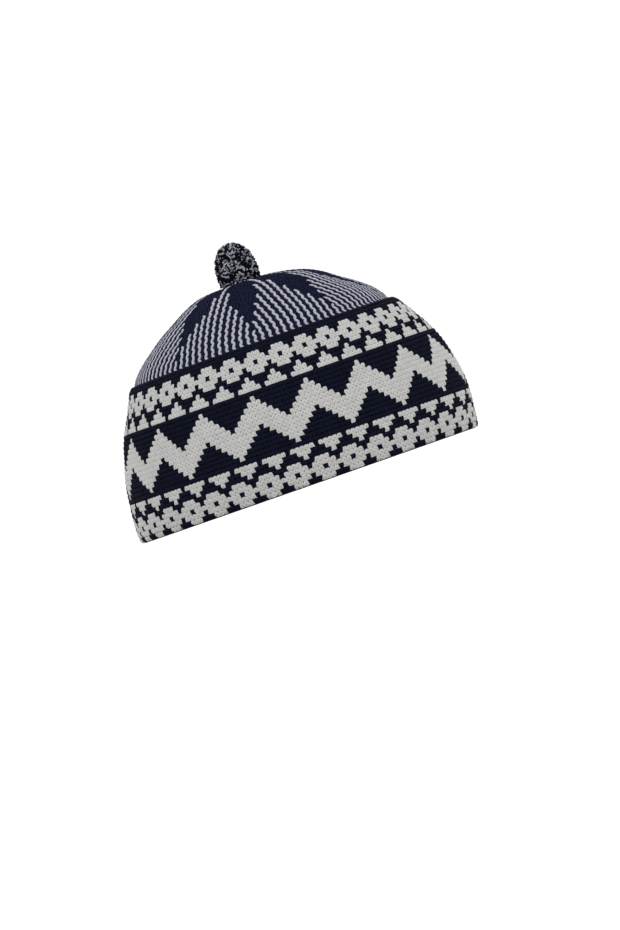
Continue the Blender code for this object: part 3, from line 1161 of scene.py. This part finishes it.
class CAP_OT_set_stage(bpy.types.Operator):
    """Sets up the pale floor with its backdrop, the soft lights and the camera"""

    bl_idname = "cap.set_stage"
    bl_label = "Set Stage"

    def execute(self, context):
        stage = cap_settings().stage
        self.make_floor(stage)
        self.make_lights(stage)
        self.make_camera(stage)
        context.scene.view_settings.view_transform = "Standard"
        return {"FINISHED"}

    def make_floor(self, stage):
        """A round floor that bends up into a backdrop on every side."""
        radius, bend = stage.floor_radius, stage.bend_radius
        turns = np.linspace(math.pi / 2, 0.0, BEND_STEPS + 1)[:-1]
        profile = [(radius + bend * math.sin(turn), bend * (1 - math.cos(turn))) for turn in turns]
        profile += [(reach, 0.0) for reach in (radius, *INNER_FLOOR)]
        mesh = loft("stage_floor", turned_rings(profile, FLOOR_STEPS), ends=("last",))
        mesh.materials.append(paper_material(stage.paper))
        add_piece("stage_floor", mesh)

    def make_lights(self, stage):
        """Soft round lamps that aim at the cap, in even light from all round."""
        for lamp in LAMPS:
            light = bpy.data.lights.new(lamp.name, "AREA")
            light.shape = "DISK"
            light.size = LAMP_WIDTH
            light.energy = lamp.power
            holder = add_piece(lamp.name, light)
            holder.visible_camera = False
            holder.location = lamp.place
            holder.rotation_mode = "QUATERNION"
            holder.rotation_quaternion = (Vector(LAMPS_AIM) - Vector(lamp.place)).to_track_quat("-Z", "Y")
        world = bpy.data.worlds.new("studio")
        world.use_nodes = True
        background = world.node_tree.nodes["Background"]
        background.inputs["Color"].default_value = (1.0, 1.0, 1.0, 1.0)
        background.inputs["Strength"].default_value = stage.sky
        bpy.context.scene.world = world

    def make_camera(self, stage):
        """The camera at the cap's right side, with the picture turned so that the front stands high."""
        data = bpy.data.cameras.new("camera")
        data.lens = data.sensor_width * stage.distance / stage.picture_height
        data.clip_start = 0.01
        data.clip_end = 20.0
        camera = add_piece("camera", data)
        aim = Vector((stage.aim_forward, 0.0, stage.aim_height))
        place = Vector((stage.aim_forward, -stage.distance, stage.camera_height))
        facing = (aim - place).to_track_quat("-Z", "Y").to_matrix().to_4x4()
        camera.matrix_world = Matrix.Translation(place) @ facing @ Matrix.Rotation(-stage.roll, 4, "Z")
        bpy.context.scene.camera = camera


class CAP_PT_panel(bpy.types.Panel):
    """Lists the steps that make the cap"""

    bl_idname = "CAP_PT_panel"
    bl_label = "Prayer Cap"
    bl_space_type = "VIEW_3D"
    bl_region_type = "UI"
    bl_category = "Cap"

    def draw(self, context):
        for step in STEPS:
            self.layout.operator(step.bl_idname)


STEPS = (CAP_OT_knit_cuff, CAP_OT_knit_crown, CAP_OT_make_pompom, CAP_OT_set_stage)
SETTINGS = (CuffSettings, CrownSettings, PompomSettings, StageSettings, PrayerCapSettings)
CLASSES = (*SETTINGS, *STEPS, CAP_PT_panel)


def register():
    for each in CLASSES:
        bpy.utils.register_class(each)
    bpy.types.Scene.prayer_cap = PointerProperty(type=PrayerCapSettings)


def unregister():
    del bpy.types.Scene.prayer_cap
    for each in reversed(CLASSES):
        bpy.utils.unregister_class(each)


def main():
    register()
    bpy.ops.cap.knit_cuff()
    bpy.ops.cap.knit_crown()
    bpy.ops.cap.make_pompom()
    bpy.ops.cap.set_stage()


if __name__ == "__main__":
    main()
